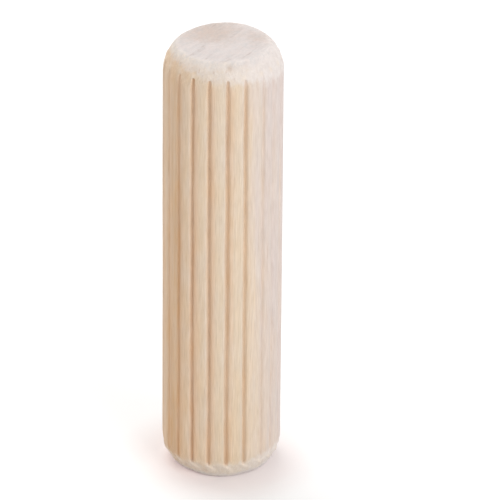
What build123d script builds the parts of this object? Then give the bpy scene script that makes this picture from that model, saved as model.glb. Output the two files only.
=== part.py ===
from build123d import *
import math
import os

# A fluted wooden dowel pin, standing on one end. Millimetres, +Z up along the pin.
# The origin is the middle of the lower end face.

# Body: the pin goes into a drilled hole with a little room for glue all round
hole_diameter = 8.0
glue_room = 0.1
pin_length = 30.0

# Ends: a rim that is rounded over to lead the pin into its hole, and an eased edge round the flat sawn face
rim_round = 3.0
rim_drop = 0.8
edge_round = 0.3

# Flutes: V grooves along the pin that let glue and air out, with a soft bottom and soft lips
flute_count = 21
flute_depth = 0.26
flute_angle = 56.0
flute_bottom_round = 0.06
flute_lip_round = 0.18

# The way that the front rib's middle faces, seen from above: along -Y
front_angle = -90.0

# How far a cutting shape reaches past the surface that it cuts
overrun = 0.5

pin_radius = hole_diameter / 2 - glue_room
end_radius = pin_radius - rim_drop
# The rim's arc meets the body without an edge, which sets how far along the pin it reaches
rim_length = math.sqrt(rim_round**2 - (rim_round - rim_drop) ** 2)
flute_pitch = 360 / flute_count
half_angle = math.radians(flute_angle / 2)
# A sharp V would reach this deep before its bottom is rounded
sharp_depth = flute_depth + flute_bottom_round * (1 / math.sin(half_angle) - 1)


def turned_rod():
    """The plain rod with its two rounded ends, spun from half its outline."""
    body_low = (pin_radius, rim_length)
    body_high = (pin_radius, pin_length - rim_length)
    end_low = (end_radius, 0)
    end_high = (end_radius, pin_length)
    outline = [
        Line((0, 0), end_low),
        TangentArc(body_low, end_low, tangent=(0, -1)),
        Line(body_low, body_high),
        TangentArc(body_high, end_high, tangent=(0, 1)),
        Line(end_high, (0, pin_length)),
        Line((0, pin_length), (0, 0)),
    ]
    half = make_face(outline)
    face_corners = half.vertices().group_by(Axis.X)[1]
    half = fillet(face_corners, edge_round)
    return revolve(Plane.XZ * half, Axis.Z)


def fluted_section():
    """The pin seen end on: a disc with V flutes all round, turned so that one rib faces the front."""
    tip = pin_radius - sharp_depth
    mouth = pin_radius + overrun
    half_mouth = (mouth - tip) * math.tan(half_angle)
    flute = make_face(Polyline((tip, 0), (mouth, half_mouth), (mouth, -half_mouth), close=True))
    section = Circle(pin_radius) - PolarLocations(0, flute_count) * flute
    by_depth = section.vertices().group_by(lambda corner: round(Vector(corner).length, 3))
    section = fillet(by_depth[0], flute_bottom_round)
    lips = section.vertices().group_by(lambda corner: round(Vector(corner).length, 3))[-1]
    section = fillet(lips, flute_lip_round)
    return Rot(Z=front_angle + flute_pitch / 2) * section


def dowel_pin():
    """The fluted bar and the turned rod have the pin in common, so each flute runs out on the rims."""
    fluted_bar = extrude(fluted_section(), pin_length)
    return turned_rod() & fluted_bar


os.makedirs("parts", exist_ok=True)
export_step(dowel_pin(), "parts/dowel_pin.step")
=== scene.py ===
"""Looks for the fluted dowel pin: a fine mesh of bare wood, a white floor, soft light and the camera."""

import math
import random
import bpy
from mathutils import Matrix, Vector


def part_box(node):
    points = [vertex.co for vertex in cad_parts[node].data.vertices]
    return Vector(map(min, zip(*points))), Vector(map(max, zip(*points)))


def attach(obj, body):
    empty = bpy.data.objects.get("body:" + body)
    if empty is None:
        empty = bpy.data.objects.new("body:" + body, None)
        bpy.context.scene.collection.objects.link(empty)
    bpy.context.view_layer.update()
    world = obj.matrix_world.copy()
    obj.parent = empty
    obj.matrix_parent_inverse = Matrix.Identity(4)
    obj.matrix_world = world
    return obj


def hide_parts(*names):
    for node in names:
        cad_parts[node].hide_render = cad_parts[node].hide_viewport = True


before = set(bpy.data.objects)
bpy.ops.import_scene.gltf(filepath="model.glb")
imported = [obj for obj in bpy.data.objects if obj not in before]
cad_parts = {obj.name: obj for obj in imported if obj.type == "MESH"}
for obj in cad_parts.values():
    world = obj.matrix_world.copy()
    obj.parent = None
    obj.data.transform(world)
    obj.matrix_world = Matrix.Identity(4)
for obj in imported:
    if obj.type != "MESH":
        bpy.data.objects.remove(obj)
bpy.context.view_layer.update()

from types import SimpleNamespace

import bpy
import numpy as np
from mathutils import Matrix, Vector, noise

MM = 0.001
low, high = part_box("dowel_pin")

# The pin's sizes in millimetres: the frame gives the box, and the rest are the solid's own values
RADIUS = (high.x - low.x) / 2 / MM
LENGTH = (high.z - low.z) / MM
RIM_ROUND = 3.0
RIM_DROP = 0.8
EDGE_ROUND = 0.3
FLUTE_COUNT = 21
FLUTE_DEPTH = 0.26
FLUTE_ANGLE = 56.0
FLUTE_BOTTOM_ROUND = 0.06
FRONT_ANGLE = -90.0

# Pressing leaves the flutes' lips crisper than the solid's
FLUTE_LIP_ROUND = 0.08

# How uneven the pressed wood is, in millimetres and in shares
RIB_CROWN = 0.08
FLUTE_WANDER = 0.045
FLUTE_DEPTH_SHARE = 0.92
FLUTE_DEPTH_CHANGE_SHARE = 0.16
BODY_SWELL = 0.012
RIM_TEAR = 0.045
FACE_ROUGH = 0.01
FACE_ROUGH_MEAN_SHARE = 0.7
FACE_ROUGH_CHANGE_SHARE = 0.5

# Where the rounded rim cuts the fluted surface: how softly the two meet, and how far outside the rim that
# surface is where the cut starts and where it is full
MEETING_SOFTNESS = 0.03
RIM_CUT = (-0.03, 0.08)

# Noise in the surface, in layers: cycles a millimetre along X, Y and Z, place in the noise, and share
SWELL_NOISE = (((0.35, 0.35, 0.12), 0.0, 1.0),)
TEAR_NOISE = (((1.6, 1.6, 1.1), 40.0, 1.0), ((4.5, 4.5, 2.6), 60.0, 0.7))
ROUGH_NOISE = (((1.1, 1.1, 1.0), 5.0, 1.0), ((3.2, 3.2, 1.0), 15.0, 0.5))

# Noise along a flute, in waves: length, place in the noise, and share; and the step between two flutes
WANDER_WAVES = ((6.0, 0.5, 1.0), (1.4, 9.5, 0.35))
DEPTH_WAVES = ((5.0, 20.5, 1.0), (0.9, 30.5, 0.4))
FLUTE_NOISE_STEP = 7.3

# Each flute stops short of the ends: how far from each, over what length, how much that differs, and where
# that difference is read in the noise
TIP_FROM_TOP = 1.09
TIP_FROM_BASE = 1.2
TIP_LENGTH = 0.14
TIP_CHANGE = 0.1
TIP_TOP_NOISE = (3.7, 1.5)
TIP_BASE_NOISE = (3.7, 8.5)

# How much of the rim's fall the flutes' bottoms follow, which leaves their ends blunt
RIM_FOLLOW_SHARE = 0.45

# Fibre pushed up round the end of a flute: how high and wide, how far past the end it reaches, how far
# back along the flute it starts and how far it is shifted to one side, at the top and at the base, where
# it also leans across
BURR_HEIGHT = 0.045
BURR_HEIGHT_BASE = 0.1
BURR_WIDTH = 0.17
BURR_WIDTH_BASE = 0.22
BURR_LENGTH = 0.4
BURR_LENGTH_BASE = 0.6
BURR_BACK = 0.15
BURR_BACK_BASE = 0.3
BURR_SHIFT = -0.1
BURR_SHIFT_BASE = 0.15
BURR_LEAN_BASE_SHARE = 1.0

# The fibre is at its full height between these distances past the end, and uneven by these shares
BURR_FULL_FROM = 0.1
BURR_FULL_TO = 0.15
BURR_MEAN_SHARE = 0.8
BURR_CHANGE_SHARE = 0.6

# The crease past a flute's lower end: depth, width, shift to one side, and where it is full, fades and ends
CREASE_DEPTH = 0.05
CREASE_WIDTH = 0.16
CREASE_SHIFT = 0.12
CREASE_FULL = 0.25
CREASE_FADE = 0.7
CREASE_END = 1.3

# Worn places on the rims, and pits torn out of them: direction seen from above, height, width and depth
WORN_PLACES = (
    (143.0, 29.65, 1.8, 0.125),
    (40.0, 29.7, 1.0, 0.06),
    (-128.0, 0.15, 0.9, 0.07),
    (-58.0, 0.15, 0.7, 0.05),
)
PITS = ((-79.0, 29.55, 0.2, 0.07), (-136.0, 29.3, 0.16, 0.05), (-61.0, 29.62, 0.14, 0.04))

# Smaller pits scattered round both rims: how many, the seed that places them, and the least and most of
# their distance from the end, width and depth
SCATTERED_PITS = 40
PIT_SEED = 74
PIT_FROM_END = (0.15, 1.1)
PIT_WIDTH = (0.06, 0.13)
PIT_DEPTH = (0.02, 0.05)

# A pit this deep is at its darkest
PIT_DARK_DEPTH = 0.05

# Where the flutes are pressed less deep: direction seen from above, half the spread, share of depth lost
SHALLOW_PLACES = ((-24.0, 32.0, 0.74), (-148.0, 18.0, 0.7))

# The flutes' spacing is uneven by this many degrees, in this many waves round the pin from where it is even
SPACING_DRIFT = 0.9
SPACING_WAVES = 3
SPACING_EVEN_ANGLE = -83.0

# The direction of one flute that is pressed out of line, and how far
STRAY_FLUTE = -46.0
STRAY_DISTANCE = 0.18

# Pale torn wood starts at this tilt of the rim, in radians, and sooner towards +X by this much, at the
# top and at the base; how ragged that start is, and how far before and after it the wood turns pale
PALE_TILT_TOP = 0.36
PALE_LEAN_TOP = 0.24
PALE_TILT_BASE = 0.29
PALE_LEAN_BASE = 0.1
PALE_RAGGED = 0.09
PALE_BAND = (-0.2, 0.14)

# Painted light on the edge of an end face, where its rounding lies in shade: how far it fades inwards, how
# much further towards +X, how ragged that is, and the tilts between which it starts
EDGE_FADE = 0.15
EDGE_FADE_LEAN = 0.55
EDGE_RAGGED = 0.12
EDGE_TILTS = (0.42, 0.6)

# The sawn face starts between these tilts, and how ragged that is
FACE_TILTS = (0.46, 0.74)
FACE_RAGGED = 0.05

# The flanks of a flute: burnished by pressing on one side, with warm bounce light painted there too, and
# painted shade,
# darker and greyer, on the other: distance from the flute's middle, and width
BURNISH_BOUNCE_SHIFT = 0.22
BURNISH_BOUNCE_WIDTH = 0.22
FLUTE_SHADE_SHIFT = -0.2
FLUTE_SHADE_WIDTH = 0.11

# Mesh steps: columns at shares of the way from a flute's middle to a rib's, and rows along the outline
ACROSS_SHARES = (0.07, 0.13, 0.19, 0.25, 0.31, 0.38, 0.46, 0.58, 0.78)
RIM_ROWS = 30
EDGE_ROWS = 6
BODY_ROWS = 120
FACE_RINGS = 13

half_angle = math.radians(FLUTE_ANGLE / 2)
sharp_depth = FLUTE_DEPTH + FLUTE_BOTTOM_ROUND * (1 / math.sin(half_angle) - 1)
rim_length = math.sqrt(RIM_ROUND**2 - (RIM_ROUND - RIM_DROP) ** 2)
half_pitch = math.pi * RADIUS / FLUTE_COUNT


def smooth_step(value, start, end):
    """0 before start, 1 after end and a soft rise between them."""
    t = np.clip((value - start) / (end - start), 0, 1)
    return t * t * (3 - 2 * t)


def hump(distance, width):
    """1 at no distance, and a soft fall to either side."""
    return np.exp(-((distance / width) ** 2))


def soft_min(a, b, softness):
    """The smaller of two surfaces, with the edge where they meet eased over a little way."""
    blend = np.clip(0.5 + (b - a) / (2 * softness), 0, 1)
    return b + (a - b) * blend - softness * blend * (1 - blend)


def noise_at(points, layers):
    """Smooth noise about 0 at points in millimetres."""
    total = np.zeros(len(points))
    for scale, shift, share in layers:
        places = points * scale + shift
        total += share * np.array([noise.noise(place) for place in places.tolist()])
    return total


def noise_along(flute, height, waves):
    """Smooth noise about 0 at a height on one flute."""
    place = FLUTE_NOISE_STEP * flute
    return sum(share * noise.noise((height / length, place, shift)) for length, shift, share in waves)


def degrees_from(directions, angle):
    """How far each direction, in radians, is from an angle in degrees, the short way round."""
    return (np.degrees(directions) - angle + 180) % 360 - 180


def rod_outline():
    """The plain rod's outline in rows, from near the middle of the lower face to near that of the upper.

    A row holds a radius, a height, how far the surface's outward way tilts up, and 1 on a flat end face.
    """
    reach = math.sqrt((RIM_ROUND - EDGE_ROUND) ** 2 - (rim_length - EDGE_ROUND) ** 2)
    flat_radius = RADIUS - RIM_ROUND + reach
    meeting = math.atan2(rim_length - EDGE_ROUND, reach)
    rim = np.linspace(0, meeting, RIM_ROWS, endpoint=False)
    edge = np.linspace(meeting, math.pi / 2, EDGE_ROWS)
    rings = flat_radius * np.linspace(1, 0, FACE_RINGS, endpoint=False)[1:]
    rim_radius = RADIUS - RIM_ROUND * (1 - np.cos(rim))
    edge_radius = flat_radius + EDGE_ROUND * np.cos(edge)
    radius = np.concatenate([rim_radius, edge_radius, rings])
    below_rim = rim_length - RIM_ROUND * np.sin(rim)
    below_edge = EDGE_ROUND * (1 - np.sin(edge))
    below_face = np.concatenate([below_rim, below_edge, 0 * rings])
    tilt = np.concatenate([rim, edge, np.full(len(rings), math.pi / 2)])
    on_face = smooth_step(tilt, meeting, math.pi / 2)
    upper = np.column_stack([radius, LENGTH - below_face, tilt, on_face])
    lower = np.column_stack([radius, below_face, -tilt, on_face])[::-1]
    heights = np.linspace(rim_length, LENGTH - rim_length, BODY_ROWS)[1:-1]
    body = np.column_stack([np.full(len(heights), RADIUS), heights, 0 * heights, 0 * heights])
    return np.concatenate([lower, body, upper])


def flute_columns():
    """For every column, its flute's number and its distance across from that flute's middle."""
    side = [share * half_pitch for share in ACROSS_SHARES]
    offsets = [-step for step in reversed(side)] + [0.0] + side + [half_pitch]
    return np.repeat(np.arange(FLUTE_COUNT), len(offsets)), np.tile(offsets, FLUTE_COUNT)


def flute_middles():
    """The direction of each flute's middle, seen from above, starting beside the front rib."""
    even = math.radians(FRONT_ANGLE) + (np.arange(FLUTE_COUNT) + 0.5) * 2 * half_pitch / RADIUS
    wave = np.sin(SPACING_WAVES * (even - math.radians(SPACING_EVEN_ANGLE)))
    return even + math.radians(SPACING_DRIFT) * wave


def flute_drop(across):
    """Depth of a flute below the crest, across from its middle: round bottom, flank, round lip."""
    across = np.abs(across)
    mouth = sharp_depth * math.tan(half_angle)
    lip_reach = FLUTE_LIP_ROUND * math.tan((math.pi / 2 - half_angle) / 2)
    bottom_end = FLUTE_BOTTOM_ROUND * math.cos(half_angle)
    lip_start = mouth - lip_reach * math.sin(half_angle)
    lip_end = mouth + lip_reach
    bottom_rise = FLUTE_BOTTOM_ROUND - np.sqrt(np.maximum(FLUTE_BOTTOM_ROUND**2 - across**2, 0))
    lip_fall = FLUTE_LIP_ROUND - np.sqrt(np.maximum(FLUTE_LIP_ROUND**2 - (lip_end - across) ** 2, 0))
    return np.select(
        [across < bottom_end, across < lip_start, across < lip_end],
        [FLUTE_DEPTH - bottom_rise, (mouth - across) / math.tan(half_angle), lip_fall],
        0.0,
    )


def flute_unevenness(heights, falls, middles):
    """For each flute at every height: how far it strays sideways, its share of depth, how far past its end.

    The falls are how far the rod's outline has drawn in at each height.
    """
    stray = np.empty((len(heights), FLUTE_COUNT))
    depth = np.empty((len(heights), FLUTE_COUNT))
    past_end = np.empty((len(heights), FLUTE_COUNT))
    for flute in range(FLUTE_COUNT):
        place = FLUTE_NOISE_STEP * flute
        top = LENGTH - TIP_FROM_TOP + TIP_CHANGE * noise.noise((place, *TIP_TOP_NOISE))
        base = TIP_FROM_BASE + TIP_CHANGE * noise.noise((place, *TIP_BASE_NOISE))
        past_end[:, flute] = np.maximum(heights - top, base - heights)
        for row, height in enumerate(heights):
            stray[row, flute] = FLUTE_WANDER * noise_along(flute, height, WANDER_WAVES)
            change = noise_along(flute, height, DEPTH_WAVES)
            depth[row, flute] = FLUTE_DEPTH_SHARE + FLUTE_DEPTH_CHANGE_SHARE * change
    depth += RIM_FOLLOW_SHARE / FLUTE_DEPTH * falls[:, None]
    for angle, spread, share in SHALLOW_PLACES:
        depth *= 1 - share * np.exp(-((degrees_from(middles, angle) / spread) ** 4))
    stray[:, np.argmin(np.abs(degrees_from(middles, STRAY_FLUTE)))] += STRAY_DISTANCE
    depth *= smooth_step(-past_end, -TIP_LENGTH / 2, TIP_LENGTH / 2)
    return stray, depth, past_end


def fluted_grid():
    """The fluted rod as a grid: the outline's rows by the flutes' columns.

    Apart from the two counts, a field holds one value for each point, row by row.
    """
    outline = rod_outline()
    flutes, across = flute_columns()
    middles = flute_middles()
    uneven = flute_unevenness(outline[:, 1], RADIUS - outline[:, 0], middles)
    stray, depth, past_end = (values[:, flutes] for values in uneven)
    rod, height, tilt, on_face = (column[:, None] for column in outline.T)
    from_flute = np.abs(across) / half_pitch
    fluted = RADIUS - flute_drop(across) * depth - RIB_CROWN * (1 - from_flute) ** 2
    fields = {
        "angle": middles[flutes] + (across + stray * (1 - from_flute**2)) / RADIUS,
        "radius": soft_min(fluted, rod, MEETING_SOFTNESS),
        "height": height,
        "tilt": tilt,
        "on_face": on_face,
        "upper": height > LENGTH / 2,
        "past_flat": rod - rod[on_face == 1].max(),
        "across": across,
        "depth": depth,
        "past_end": past_end,
        "cut": smooth_step(fluted - rod, *RIM_CUT),
    }
    shape = (len(outline), len(across))
    flat = {name: np.broadcast_to(values, shape).reshape(-1) for name, values in fields.items()}
    return SimpleNamespace(rows=len(outline), columns=len(across), **flat)


def burr_share(grid):
    """How much fibre is pushed up round the flutes' ends, from 0 to 1. At the base it leans across."""
    length = np.where(grid.upper, BURR_LENGTH, BURR_LENGTH_BASE)
    width = np.where(grid.upper, BURR_WIDTH, BURR_WIDTH_BASE)
    back = np.where(grid.upper, BURR_BACK, BURR_BACK_BASE)
    start = smooth_step(grid.past_end + back, 0, back + BURR_FULL_FROM)
    end = smooth_step(-grid.past_end, -length, -BURR_FULL_TO)
    lean = BURR_LEAN_BASE_SHARE * (grid.past_end - BURR_SHIFT_BASE)
    middle = np.where(grid.upper, BURR_SHIFT, lean)
    return start * end * hump(grid.across - middle, width) * (1 - grid.on_face)


def crease_share(grid):
    """A shallow crease that goes on past each flute's lower end, beside the fibre there, from 0 to 1."""
    start = smooth_step(grid.past_end, 0, CREASE_FULL)
    end = smooth_step(-grid.past_end, -CREASE_END, -CREASE_FADE)
    middle = BURR_LEAN_BASE_SHARE * grid.past_end + CREASE_SHIFT
    crease = start * end * hump(grid.across - middle, CREASE_WIDTH)
    return np.where(grid.upper, 0.0, crease) * (1 - grid.on_face)


def all_pits():
    """The pits that are named above, and smaller ones scattered round both rims."""
    chance = random.Random(PIT_SEED)
    pits = list(PITS)
    for _ in range(SCATTERED_PITS):
        from_end = chance.uniform(*PIT_FROM_END)
        height = chance.choice((from_end, LENGTH - from_end))
        direction = chance.uniform(-180, 180)
        width = chance.uniform(*PIT_WIDTH)
        pits.append((direction, height, width, chance.uniform(*PIT_DEPTH)))
    return pits


def dent_depth(points, dents):
    """How deep the dents are at each point."""
    depth = np.zeros(len(points))
    for angle, height, width, deepest in dents:
        turn = math.radians(angle)
        along_rim = smooth_step(max(height, LENGTH - height), LENGTH - rim_length, LENGTH)
        out = RADIUS - RIM_DROP * along_rim
        middle = np.array([out * math.cos(turn), out * math.sin(turn), height])
        depth += deepest * hump(np.linalg.norm(points - middle, axis=1), width)
    return depth


def material_marks(grid, tear, burr, pits):
    """What the material reads at each point, from about 0 to 1: where the wood is torn, pressed or sawn,
    and where light and shade are painted on the flutes' flanks, the fibre round their ends and the end
    faces' edges.
    """
    lean = np.where(grid.upper, PALE_LEAN_TOP, PALE_LEAN_BASE) * np.cos(grid.angle)
    start = np.where(grid.upper, PALE_TILT_TOP, PALE_TILT_BASE) - lean + PALE_RAGGED * tear
    steep = np.abs(grid.tilt)
    fade = EDGE_FADE + EDGE_FADE_LEAN * np.maximum(np.cos(grid.angle), 0)
    inwards = np.clip((grid.past_flat + EDGE_RAGGED * tear + fade) / (EDGE_ROUND + fade), 0, 1)
    pressed = grid.depth * (1 - grid.cut)
    return {
        "rim": smooth_step(steep - start, *PALE_BAND) * (1 - grid.on_face),
        "burr": burr,
        "pit": np.clip(pits / PIT_DARK_DEPTH, 0, 1),
        # The end face's edge where its rounding lies in shade, for painted light
        "edge": smooth_step(steep, *EDGE_TILTS) * smooth_step(inwards, 0, 1),
        "end_face": smooth_step(steep + FACE_RAGGED * tear, *FACE_TILTS),
        # One flank of each flute, burnished with painted warm bounce light, and the other with painted
        # shade
        "burnish": hump(grid.across - BURNISH_BOUNCE_SHIFT, BURNISH_BOUNCE_WIDTH) * pressed,
        "flute_shade": hump(grid.across - FLUTE_SHADE_SHIFT, FLUTE_SHADE_WIDTH) * pressed,
    }


def pin_surface():
    """The pin's grid, its points once the wood is torn, worn and rough, and the material's marks."""
    grid = fluted_grid()
    sideways = np.column_stack([np.cos(grid.angle), np.sin(grid.angle)])
    points = np.column_stack([grid.radius[:, None] * sideways, grid.height])
    outwards = np.column_stack([np.cos(grid.tilt)[:, None] * sideways, np.sin(grid.tilt)])
    tear = noise_at(points, TEAR_NOISE)
    rough = FACE_ROUGH_MEAN_SHARE + FACE_ROUGH_CHANGE_SHARE * noise_at(points, ROUGH_NOISE)
    burr = burr_share(grid)
    burr_height = np.where(grid.upper, BURR_HEIGHT, BURR_HEIGHT_BASE)
    pits = dent_depth(points, all_pits())
    move = BODY_SWELL * noise_at(points, SWELL_NOISE) * (1 - grid.on_face)
    move -= grid.cut * (1 - grid.on_face) * RIM_TEAR * (1 + tear) / 2
    move -= grid.on_face * FACE_ROUGH * rough
    move += burr_height * burr * (BURR_MEAN_SHARE + BURR_CHANGE_SHARE * tear)
    move -= CREASE_DEPTH * crease_share(grid)
    move -= pits + dent_depth(points, WORN_PLACES)
    points += outwards * move[:, None]
    return grid, points, material_marks(grid, tear, burr, pits)


def pin_object():
    """The pin as one closed mesh: quads between the grid's rows, and a fan inside each end face."""
    grid, points, marks = pin_surface()
    columns = grid.columns
    here = np.arange(columns)
    after = (here + 1) % columns
    row_starts = np.arange(grid.rows - 1)[:, None] * columns
    next_starts = row_starts + columns
    corners = [row_starts + here, row_starts + after, next_starts + after, next_starts + here]
    faces = np.stack(corners, -1).reshape(-1, 4).tolist()
    lower_middle = len(points)
    upper_middle = lower_middle + 1
    last_row = (grid.rows - 1) * columns
    for column in range(columns):
        faces.append([int(after[column]), column, lower_middle])
        faces.append([last_row + column, int(last_row + after[column]), upper_middle])
    middles = [[0, 0, points[:columns, 2].mean()], [0, 0, points[last_row:, 2].mean()]]
    points = np.concatenate([points, middles])

    mesh = bpy.data.meshes.new("dowel_pin_wood")
    mesh.from_pydata((points * MM).tolist(), [], faces)
    mesh.polygons.foreach_set("use_smooth", np.ones(len(mesh.polygons), bool))
    for name, values in marks.items():
        mark = mesh.attributes.new(name, "FLOAT", "POINT")
        at_middles = [float(name == "end_face")] * 2
        mark.data.foreach_set("value", np.append(values, at_middles).astype(np.float32))
    pin = bpy.data.objects.new("dowel_pin_wood", mesh)
    bpy.context.scene.collection.objects.link(pin)
    return pin


class Nodes:
    """A short way to write a material's nodes: most calls add nodes and return an output socket."""

    def __init__(self, tree):
        self.tree = tree
        self.tree.nodes.clear()

    def add(self, kind, inputs=None, **settings):
        """A node of any kind, with its settings and inputs; this returns the node itself."""
        node = self.tree.nodes.new(kind)
        for name, value in settings.items():
            setattr(node, name, value)
        for name, value in (inputs or {}).items():
            self.feed(node.inputs[name], value)
        return node

    def feed(self, socket, value):
        """Link a socket to the value where that is a socket too, and set it otherwise."""
        if isinstance(value, bpy.types.NodeSocket):
            self.tree.links.new(value, socket)
        else:
            socket.default_value = value

    def maths(self, operation, *values):
        return self.add("ShaderNodeMath", dict(enumerate(values)), operation=operation).outputs[0]

    def vector_maths(self, operation, *values):
        """All the outputs of a vector maths node, by name."""
        return self.add("ShaderNodeVectorMath", dict(enumerate(values)), operation=operation).outputs

    def times(self, value, *factors):
        """A value times each of the factors."""
        for factor in factors:
            value = self.maths("MULTIPLY", value, factor)
        return value

    def sum_of(self, start, *terms):
        """start plus each value times its weight."""
        total = start
        for value, weight in terms:
            total = self.maths("MULTIPLY_ADD", value, weight, total)
        return total

    def blend_of(self, fields, start, weights):
        """start plus each named field times its weight."""
        return self.sum_of(start, *((getattr(fields, name), weight) for name, weight in weights.items()))

    def stretch(self, vector, scale):
        return self.vector_maths("MULTIPLY", vector, scale)["Vector"]

    def distance(self, vector, point):
        return self.vector_maths("DISTANCE", vector, point)["Value"]

    def vector(self, x, y, z):
        return self.add("ShaderNodeCombineXYZ", {"X": x, "Y": y, "Z": z}).outputs["Vector"]

    def noise(self, vector, scale, detail, roughness):
        """Noise about 0, from -0.5 to 0.5; scale is cycles for each unit of the vector along each axis."""
        inputs = {"Vector": self.stretch(vector, scale), "Scale": 1.0}
        inputs.update({"Detail": detail, "Roughness": roughness})
        return self.maths("SUBTRACT", self.add("ShaderNodeTexNoise", inputs).outputs["Fac"], 0.5)

    def rise(self, value, start, end, low_value=0.0, high_value=1.0):
        """low_value before start, high_value after end and a soft rise or fall between them."""
        inputs = dict(enumerate((value, start, end, low_value, high_value)))
        return self.add("ShaderNodeMapRange", inputs, interpolation_type="SMOOTHSTEP").outputs[0]

    def mix(self, share, none_of_it, all_of_it):
        """A colour between two, by how much there is of the second."""
        inputs = {0: share, 6: none_of_it, 7: all_of_it}
        return self.add("ShaderNodeMix", inputs, data_type="RGBA", blend_type="MIX").outputs[2]

    def vary(self, base, saturation, lightness):
        """A colour with its saturation and lightness each multiplied by a value about 1."""
        inputs = {"Color": base, "Saturation": saturation, "Value": lightness}
        return self.add("ShaderNodeHueSaturation", inputs).outputs["Color"]

    def mark(self, name):
        """One of the mesh's marks."""
        node = self.add("ShaderNodeAttribute", attribute_name=name, attribute_type="GEOMETRY")
        return node.outputs["Fac"]


def colour(red, green, blue):
    """A linear colour from the 0 to 255 values that a screen shows."""
    def linear(value):
        share = value / 255
        return share / 12.92 if share <= 0.04045 else ((share + 0.055) / 1.055) ** 2.4
    return (linear(red), linear(green), linear(blue), 1.0)


# Wood colours as a screen shows them, with the painted sheen, bounce light and highlights among them
TAN_WOOD = colour(237, 206, 174)
CREAM_WOOD = colour(233, 212, 187)
PINK_PAINTED_SHEEN = colour(225, 210, 203)
AMBER_STREAK = colour(217, 173, 126)
FLECK_BROWN = colour(186, 150, 118)
BURNISH_BOUNCE_COLOUR = colour(231, 188, 153)
TORN_WOOD = colour(240, 231, 226)
TORN_SPECK = colour(203, 170, 138)
PIT_BROWN = colour(190, 152, 118)
END_WOOD = colour(221, 211, 207)
END_TAN = colour(208, 190, 179)
END_LINE = colour(192, 178, 172)
END_PALE = colour(228, 219, 216)
EDGE_PAINTED_LIGHT = colour(246, 234, 221)
BURR_PAINTED_HIGHLIGHT = colour(244, 228, 212)

# Noise in the wood by name: cycles a millimetre along X, Y and Z, detail and roughness
WOOD_NOISE = {
    "drift": ((0.3, 0.3, 0.03), 2.0, 0.5),
    "wobble": ((1.3, 1.3, 0.05), 2.0, 0.5),
    "sway": ((1.1, 1.1, 0.3), 2.0, 0.5),
    "broad": ((0.9, 0.9, 0.06), 2.0, 0.5),
    "blush": ((0.7, 0.7, 0.11), 2.0, 0.5),
    "streak": ((2.6, 2.6, 0.1), 2.0, 0.5),
    "fibre": ((5.5, 5.5, 0.16), 3.0, 0.6),
    "grain": ((8.0, 8.0, 0.9), 3.0, 0.65),
    "fine": ((19.0, 19.0, 0.7), 2.0, 0.5),
    "warmth": ((1.5, 1.5, 0.45), 2.0, 0.5),
    "dash": ((7.0, 7.0, 0.8), 1.0, 0.5),
    "speck": ((4.5, 4.5, 1.7), 3.0, 0.6),
    "tuft": ((3.4, 3.4, 2.2), 2.0, 0.5),
    "mottle": ((1.6, 1.6, 1.0), 3.0, 0.6),
    "blotch": ((0.9, 0.9, 0.1), 2.0, 0.5),
    "coarse": ((7.0, 7.0, 4.0), 4.0, 0.7),
}

# In what follows, a rise is where it starts and ends, with its values there if they aren't 0 and 1, and a
# blend is a start and the weight of each field that is added to it

# Growth rings: straight-grained stock cut well away from the tree's middle, faint on the side of the pin
RING_WIDTH = 1.1
PITH = (-42.0, 22.3, 0.0)
RING_DRIFT = 1.6
RING_WOBBLE = 0.5
RING_DARKENS = (0.7, 0.94)
RING_STOPS = (0.94, 1.0, 1.0, 0.0)

# Side of the pin: tan to cream from -X to +X, then a pale pink towards +X that is painted sheen where the
# side lamp falls, with less of it towards the back
# Its weight on z_share turns the side warmer towards the base: painted shade low on the pin
ACROSS_BLEND = (-0.18, {"x_share": 1.0, "z_share": 0.34, "broad": 0.6, "streak": 0.32, "fibre": 0.26})
CREAM_RISE = (-1.0, 0.1)
SHEEN_PAINT_BLUSH = 0.45
SHEEN_PAINT_RISE = (0.27, 1.05)
SHEEN_PAINT_TO_BACK = (0.1, 0.7, 1.0, 0.3)

# An amber band to the left of the front: the slant of its first edge, its two edges, its streaks, and how
# it stops below the top
AMBER_SLANT = -0.1
AMBER_FIRST_EDGE = (-0.98, -0.8)
AMBER_LAST_EDGE = (-0.68, -0.58, 1.0, 0.0)
AMBER_GRAIN = 0.5
AMBER_STREAKS = (-0.25, 0.2, 0.15, 0.75)
AMBER_STOPS = (0.92, 0.98, 1.0, 0.0)

# Brown flecks, the burnished flanks with their painted bounce light, which fade towards +X, and how the
# side's colour varies, with painted shade in one flank of each flute and low on the pin
FLECK_RISE = (0.15, 0.25, 0.0, 0.12)
BURNISH_BOUNCE_TO_RIGHT = (-0.05, 0.65, 0.52, 0.08)
# The weights on z_share below make the side darker and more saturated towards the base: painted shade low
# on the pin
SIDE_LIGHTNESS = (
    0.975,
    {"z_share": 0.03, "grain": 0.24, "fine": 0.28, "warmth": 0.05, "ring": -0.02, "flute_shade": -0.03},
)
SIDE_SATURATION = (
    1.06,
    {"z_share": -0.08, "warmth": 0.4, "grain": -0.2, "fine": -0.25, "flute_shade": -0.12},
)

# Torn wood on the rims: how pale it is, less so and greyer at the base, partly painted shade there, its
# brown specks, how its colour varies, and where it starts
TORN_PALENESS_AND_BASE_SHADE = (0.04, 0.1, 0.26, 0.63)
TORN_WEIGHTS = {"x_share": 0.18, "speck": 0.75}
SPECK_RISE = (0.04, 0.2)
SPECK_TO_RIGHT = (-0.1, 0.6, 0.5, 0.08)
TORN_SATURATION_AND_BASE_SHADE = (0.04, 0.1, 0.84, 1.0)
TORN_SATURATION_TUFT = -0.3
TORN_LIGHTNESS = (1.01, {"tuft": 0.2})
RIM_SPECK = 0.9
RIM_RISE = (0.05, 0.95)

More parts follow.
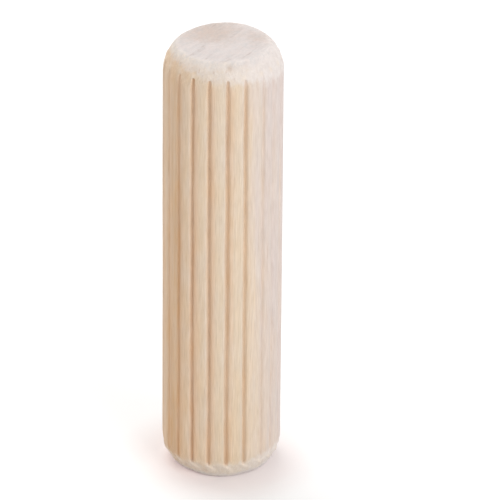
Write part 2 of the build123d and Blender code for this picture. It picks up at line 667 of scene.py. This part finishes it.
# A painted highlight on the fibre pushed up round the flutes' ends: its share at the top, from left to
# right, and at the base, and where up the pin it changes from the one to the other
BURR_HIGHLIGHT_TOP_SHARE = (-0.8, -0.5, 0.15, 0.55)
BURR_HIGHLIGHT_BASE_SHARE = 0.75
BURR_HIGHLIGHT_UPWARDS = (0.1, 0.9)

# Sawn end faces: the way that the rings run across them; the fine lines along the rings and the saw's
# marks, both as cycles a millimetre across the rings, along them and up the pin, detail and roughness; and
# how far the saw's marks sway
RING_WAY = (0.47, 0.88, 0.0)
LINE_NOISE = ((3.4, 0.24, 0.3), 2.0, 0.6)
SAW_NOISE = ((2.4, 0.75, 0.3), 3.0, 0.65)
SAW_SWAY = 0.7

# Two darker patches on the faces: the middle of each, and how much smaller it is than the first; how ragged
# they are, and how they fade
PATCHES = (((-0.9, 1.5, 0.0), 0.0), ((2.5, 1.0, 0.0), 0.9))
PATCH_WEIGHTS = {"blotch": 1.2, "line": 2.4, "speck": 2.0}
PATCH_RISE = (0.4, 2.8, 0.85, 0.0)

# Dark lines, broken by the mottle, and pale lines; the painted light on the shaded edge; how the face's
# colour varies, and where the face starts
LINE_BREAKS = (-0.1, 0.1, 0.2, 1.0)
DARK_LINE = (0.06, 0.18, 0.0, 0.6)
PALE_LINE = (-0.22, -0.08, 0.4, 0.0)
EDGE_LIGHT_BLEND = (0.45, {"x_squared": 0.4, "x_share": -0.05, "speck": 1.2})
EDGE_LIGHT_TO_RIGHT = (-0.1, 0.6)
END_LIGHTNESS = (1.0, {"speck": 0.14, "fine": 0.1, "mottle": 0.13, "saw_mark": 0.3})
END_SATURATION = (1.0, {"speck": 0.6, "mottle": 0.9})
FACE_SPECK = 0.8
FACE_RISE = (0.05, 0.95)

# How brown the deepest pits are
PIT_SHARE = 0.7

# Relief that is finer than the mesh, its depth in millimetres, and how the bare wood shines
RELIEF_BLEND = (0.0, {"fibre": 0.5, "fine": 0.35, "torn_relief": 2.2})
RELIEF_STRENGTH = 0.5
RELIEF_DEPTH = 0.03
ROUGHNESS_RISE = (-0.2, 0.2, 0.62, 0.74)
SPECULAR_LEVEL = 0.3
SHEEN_WEIGHT = 0.15
SHEEN_ROUGHNESS = 0.45


def wood_fields(n):
    """What the wood's looks depend on at a point: its place, the mesh's marks, noise and growth rings."""
    mm = n.stretch(n.add("ShaderNodeTexCoord").outputs["Object"], (1 / MM, 1 / MM, 1 / MM))
    part = n.add("ShaderNodeSeparateXYZ", {"Vector": mm}).outputs
    wood = SimpleNamespace(flat=n.stretch(mm, (1, 1, 0)))
    wood.x_share = n.maths("DIVIDE", part["X"], RADIUS)
    wood.y_share = n.maths("DIVIDE", part["Y"], RADIUS)
    wood.z_share = n.maths("DIVIDE", part["Z"], LENGTH)
    wood.x_squared = n.times(wood.x_share, wood.x_share)
    for name in ("rim", "burr", "pit", "edge", "end_face", "burnish", "flute_shade"):
        setattr(wood, name, n.mark(name))
    for name, layer in WOOD_NOISE.items():
        setattr(wood, name, n.noise(mm, *layer))

    from_pith = n.distance(wood.flat, PITH)
    ring_place = n.sum_of(from_pith, (wood.drift, RING_DRIFT), (wood.wobble, RING_WOBBLE))
    ring_share = n.maths("FRACT", n.maths("DIVIDE", ring_place, RING_WIDTH))
    wood.ring = n.times(n.rise(ring_share, *RING_DARKENS), n.rise(ring_share, *RING_STOPS))

    ring_line = n.maths("ADD", from_pith, wood.drift)
    along_rings = n.vector_maths("DOT_PRODUCT", mm, RING_WAY)["Value"]
    wood.line = n.noise(n.vector(ring_line, along_rings, part["Z"]), *LINE_NOISE)
    saw_line = n.sum_of(ring_line, (wood.sway, SAW_SWAY))
    wood.saw_mark = n.noise(n.vector(saw_line, along_rings, part["Z"]), *SAW_NOISE)
    return wood


def side_colour(n, wood):
    """The pressed side: colours that change across the pin, with painted sheen towards +X and painted shade
    low down, an amber band, flecks, and the flutes' flanks with painted bounce light and shade.
    """
    across = n.blend_of(wood, *ACROSS_BLEND)
    side = n.mix(n.rise(across, *CREAM_RISE), TAN_WOOD, CREAM_WOOD)
    # Painted sheen: a pale pink where the side lamp falls, towards +X and less towards the back
    painted_sheen = n.rise(n.sum_of(across, (wood.blush, SHEEN_PAINT_BLUSH)), *SHEEN_PAINT_RISE)
    side = n.mix(n.times(painted_sheen, n.rise(wood.y_share, *SHEEN_PAINT_TO_BACK)), side, PINK_PAINTED_SHEEN)
    amber = n.times(
        n.rise(n.sum_of(wood.x_share, (wood.z_share, AMBER_SLANT)), *AMBER_FIRST_EDGE),
        n.rise(wood.x_share, *AMBER_LAST_EDGE),
        n.rise(n.sum_of(wood.streak, (wood.grain, AMBER_GRAIN)), *AMBER_STREAKS),
        n.rise(wood.z_share, *AMBER_STOPS),
    )
    side = n.mix(amber, side, AMBER_STREAK)
    side = n.mix(n.rise(wood.dash, *FLECK_RISE), side, FLECK_BROWN)
    # The burnished flank with its painted warm bounce light, fading towards +X
    burnish_bounce = n.times(wood.burnish, n.rise(wood.x_share, *BURNISH_BOUNCE_TO_RIGHT))
    side = n.mix(burnish_bounce, side, BURNISH_BOUNCE_COLOUR)
    return n.vary(side, n.blend_of(wood, *SIDE_SATURATION), n.blend_of(wood, *SIDE_LIGHTNESS))


def torn_colour(n, wood, side):
    """Torn wood: the side's colour turned pale, with brown specks and tufts; less pale and greyer at the
    base, which is partly painted shade.
    """
    # Less pale and, below, greyer towards the base: partly painted shade on the base rim
    pale = n.blend_of(wood, n.rise(wood.z_share, *TORN_PALENESS_AND_BASE_SHADE), TORN_WEIGHTS)
    torn = n.mix(pale, side, TORN_WOOD)
    specks = n.times(n.rise(wood.speck, *SPECK_RISE), n.rise(wood.x_share, *SPECK_TO_RIGHT))
    torn = n.mix(specks, torn, TORN_SPECK)
    saturation = n.rise(wood.z_share, *TORN_SATURATION_AND_BASE_SHADE)
    saturation = n.sum_of(saturation, (wood.tuft, TORN_SATURATION_TUFT))
    return n.vary(torn, saturation, n.blend_of(wood, *TORN_LIGHTNESS))


def body_colour(n, wood):
    """The side with its torn rims, and a painted highlight on the fibre pushed up round the flutes' ends.
    """
    side = side_colour(n, wood)
    on_rim = n.rise(n.sum_of(wood.rim, (wood.speck, RIM_SPECK)), *RIM_RISE)
    body = n.mix(on_rim, side, torn_colour(n, wood, side))
    # Painted highlight on the fibre pushed up round the flutes' ends, more of it towards +X at the top
    highlight_top_share = n.rise(wood.x_share, *BURR_HIGHLIGHT_TOP_SHARE)
    burr = n.times(wood.burr, n.rise(wood.z_share, *BURR_HIGHLIGHT_UPWARDS, BURR_HIGHLIGHT_BASE_SHARE, highlight_top_share))
    return n.mix(burr, body, BURR_PAINTED_HIGHLIGHT)


def end_colour(n, wood):
    """A sawn end face: darker patches, lines along the growth rings, saw marks and a broken edge with
    painted light where its rounding lies in shade.
    """
    distances = [n.maths("ADD", n.distance(wood.flat, middle), smaller) for middle, smaller in PATCHES]
    from_patch = n.blend_of(wood, n.maths("MINIMUM", *distances), PATCH_WEIGHTS)
    end = n.mix(n.rise(from_patch, *PATCH_RISE), END_WOOD, END_TAN)
    broken = n.times(n.rise(wood.mottle, *LINE_BREAKS), n.maths("SUBTRACT", 1.0, wood.edge))
    end = n.mix(n.times(n.rise(wood.line, *DARK_LINE), broken), end, END_LINE)
    end = n.mix(n.rise(wood.line, *PALE_LINE), end, END_PALE)
    # Painted light on the end face's shaded edge
    edge = n.mix(n.rise(wood.x_share, *EDGE_LIGHT_TO_RIGHT), EDGE_PAINTED_LIGHT, TORN_WOOD)
    end = n.mix(n.times(wood.edge, n.blend_of(wood, *EDGE_LIGHT_BLEND)), end, edge)
    return n.vary(end, n.blend_of(wood, *END_SATURATION), n.blend_of(wood, *END_LIGHTNESS))


def wood_material():
    """Bare pale hardwood: fibres along the pin, growth rings, pressed flutes, torn rims, sawn faces."""
    material = bpy.data.materials.new("bare_hardwood")
    material.use_nodes = True
    n = Nodes(material.node_tree)
    wood = wood_fields(n)
    on_face = n.rise(n.sum_of(wood.end_face, (wood.speck, FACE_SPECK)), *FACE_RISE)
    base = n.mix(on_face, body_colour(n, wood), end_colour(n, wood))
    base = n.mix(n.times(wood.pit, PIT_SHARE), base, PIT_BROWN)

    wood.torn_relief = n.times(wood.coarse, n.maths("MAXIMUM", wood.rim, wood.end_face))
    relief = {
        "Height": n.blend_of(wood, *RELIEF_BLEND),
        "Strength": RELIEF_STRENGTH,
        "Distance": RELIEF_DEPTH * MM,
    }
    surface = {
        "Base Color": base,
        "Roughness": n.rise(wood.fibre, *ROUGHNESS_RISE),
        "Normal": n.add("ShaderNodeBump", relief).outputs["Normal"],
        "Specular IOR Level": SPECULAR_LEVEL,
        "Sheen Weight": SHEEN_WEIGHT,
        "Sheen Roughness": SHEEN_ROUGHNESS,
    }
    shader = n.add("ShaderNodeBsdfPrincipled", surface)
    n.add("ShaderNodeOutputMaterial", {"Surface": shader.outputs["BSDF"]})
    return material


# Floor: half its width in metres, and how white it is
FLOOR_HALF = 2.0
FLOOR_WHITE = 0.82
WHITE = (1.0, 1.0, 1.0, 1.0)

# The camera sees the floor a little lighter than its light makes it, which is painted light: how much near
# the pin, where the shadow stays, and further off, where it paints out the rest of the pin's shadow; the
# painted warm bounce tint near the pin; and the distances from the pin's axis, in millimetres, between
# which the lift and its tint change
LIFT_NEAR = 0.15
LIFT_FAR = 0.26
PAINTED_BOUNCE_TINT = (1.08, 0.72, 0.7, 1.0)
LIFT_START = 3.4
LIFT_END = 7.5

# More of that painted light at the pin's foot, over its shadow on the side away from the side lamp: how
# much, how far from the axis it reaches, and where along X it is full
FOOT_PAINTED_LIGHT = 0.1
FOOT_REACH = 4.4
FOOT_FULL_X = -2.0

# Light: the level of the white all round, and two soft lamps, with their distance and size in metres
SKY_LEVEL = 0.6
LAMP_DISTANCE = 0.5
LAMP_SIZE = 0.34
SIDE_LAMP = {"azimuth": 45.0, "elevation": 25.0, "watts": 0.87}
TOP_LAMP = {"azimuth": 205.0, "elevation": 62.0, "watts": 1.0}

# Camera, from the outline of the pin in the 500 pixel photograph
PICTURE_PIXELS = 500
SENSOR_MM = 36.0
CAMERA_DISTANCE = 387.2 * MM
CAMERA_ELEVATION = 26.98
CAMERA_AZIMUTH = 4.1
CAMERA_ROLL = -0.316
CAMERA_CLIP = 1 * MM
FOCAL_PIXELS = 5967.0
AIM_RIGHT_PIXELS = 27.55
AIM_UP_PIXELS = 1.65


def seen_directly(n):
    """1 for rays that show a surface to the camera, straight, mirrored or through glass; 0 for light."""
    rays = n.add("ShaderNodeLightPath").outputs
    mirrored = n.maths("MAXIMUM", rays["Is Glossy Ray"], rays["Is Transmission Ray"])
    return n.maths("MAXIMUM", rays["Is Camera Ray"], mirrored)


def floor_material():
    """White that keeps the pin's shadow near its foot, with painted light that lifts it further off and on
    the foot's side away from the side lamp, and a painted warm bounce tint near the pin; where nothing
    shades it the camera sees white.
    """
    material = bpy.data.materials.new("white_floor")
    material.use_nodes = True
    n = Nodes(material.node_tree)
    matt = n.add("ShaderNodeBsdfDiffuse", {"Color": (FLOOR_WHITE, FLOOR_WHITE, FLOOR_WHITE, 1.0)})
    place = n.add("ShaderNodeTexCoord").outputs["Object"]
    away = n.vector_maths("LENGTH", place)["Value"]
    # Painted light that lifts the pin's shadow further off, with a painted warm bounce tint near the pin
    clear = n.rise(away, LIFT_START * MM, LIFT_END * MM)
    x = n.add("ShaderNodeSeparateXYZ", {"Vector": place}).outputs["X"]
    # Painted light over the shadow at the pin's foot, on the side away from the side lamp
    foot_side = n.rise(x, FOOT_FULL_X * MM, 0.0, 1.0, 0.0)
    foot = n.times(foot_side, n.rise(away, LIFT_START * MM, FOOT_REACH * MM, 1.0, 0.0))
    level = n.sum_of(LIFT_NEAR, (clear, LIFT_FAR - LIFT_NEAR), (foot, FOOT_PAINTED_LIGHT))
    glow = {"Color": n.mix(clear, PAINTED_BOUNCE_TINT, WHITE), "Strength": n.times(seen_directly(n), level)}
    lift = n.add("ShaderNodeEmission", glow)
    both = n.add("ShaderNodeAddShader", {0: matt.outputs[0], 1: lift.outputs[0]})
    n.add("ShaderNodeOutputMaterial", {"Surface": both.outputs[0]})
    return material


def make_floor():
    """The floor that the pin stands on."""
    mesh = bpy.data.meshes.new("floor")
    corners = [(-1, -1), (1, -1), (1, 1), (-1, 1)]
    mesh.from_pydata([(x * FLOOR_HALF, y * FLOOR_HALF, low.z) for x, y in corners], [], [(0, 1, 2, 3)])
    mesh.materials.append(floor_material())
    floor = bpy.data.objects.new("floor", mesh)
    bpy.context.scene.collection.objects.link(floor)


def make_world():
    """Even white light from all round, and white behind everything."""
    world = bpy.data.worlds.new("white_studio")
    bpy.context.scene.world = world
    world.use_nodes = True
    n = Nodes(world.node_tree)
    level = n.rise(seen_directly(n), 0.0, 1.0, SKY_LEVEL, 1.0)
    sky = n.add("ShaderNodeBackground", {"Color": WHITE, "Strength": level})
    n.add("ShaderNodeOutputWorld", {"Surface": sky.outputs[0]})


def around(azimuth, elevation, distance):
    """A point round the pin's middle: azimuth 0 is in front, along -Y, and grows towards +X."""
    turn = math.radians(azimuth)
    rise = math.radians(elevation)
    flat = math.cos(rise) * distance
    middle = Vector((0, 0, (low.z + high.z) / 2))
    return middle + Vector((flat * math.sin(turn), -flat * math.cos(turn), math.sin(rise) * distance))


def make_lamp(name, azimuth, elevation, watts):
    """A large soft lamp that faces the pin."""
    lamp = bpy.data.lights.new(name, "AREA")
    lamp.shape = "DISK"
    lamp.size = LAMP_SIZE
    lamp.energy = watts
    holder = bpy.data.objects.new(name, lamp)
    bpy.context.scene.collection.objects.link(holder)
    holder.location = around(azimuth, elevation, LAMP_DISTANCE)
    holder.rotation_euler = (around(0, 0, 0) - holder.location).to_track_quat("-Z", "Y").to_euler()


def make_camera():
    """The photograph's view: a long lens from a little above, aimed just to the right of the pin."""
    data = bpy.data.cameras.new("camera")
    data.sensor_width = SENSOR_MM
    data.lens = FOCAL_PIXELS / PICTURE_PIXELS * SENSOR_MM
    data.clip_start = CAMERA_CLIP
    camera = bpy.data.objects.new("camera", data)
    bpy.context.scene.collection.objects.link(camera)
    place = around(CAMERA_AZIMUTH, CAMERA_ELEVATION, CAMERA_DISTANCE)
    ahead = (around(0, 0, 0) - place).normalized()
    right = ahead.cross(Vector((0, 0, 1))).normalized()
    up = right.cross(ahead)
    turn = Matrix.Rotation(-math.atan(AIM_RIGHT_PIXELS / FOCAL_PIXELS), 3, up)
    ahead, right = turn @ ahead, turn @ right
    tilt = Matrix.Rotation(math.atan(AIM_UP_PIXELS / FOCAL_PIXELS), 3, right)
    ahead, up = tilt @ ahead, tilt @ up
    roll = Matrix.Rotation(math.radians(CAMERA_ROLL), 3, ahead)
    right, up = roll @ right, roll @ up
    turned = Matrix((right, up, -ahead)).transposed()
    camera.matrix_world = Matrix.Translation(place) @ turned.to_4x4()
    bpy.context.scene.camera = camera


pin = pin_object()
pin.data.materials.append(wood_material())
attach(pin, "root")
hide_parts("dowel_pin")

make_floor()
make_world()
make_lamp("side_lamp", **SIDE_LAMP)
make_lamp("top_lamp", **TOP_LAMP)
make_camera()
bpy.context.scene.view_settings.view_transform = "Standard"
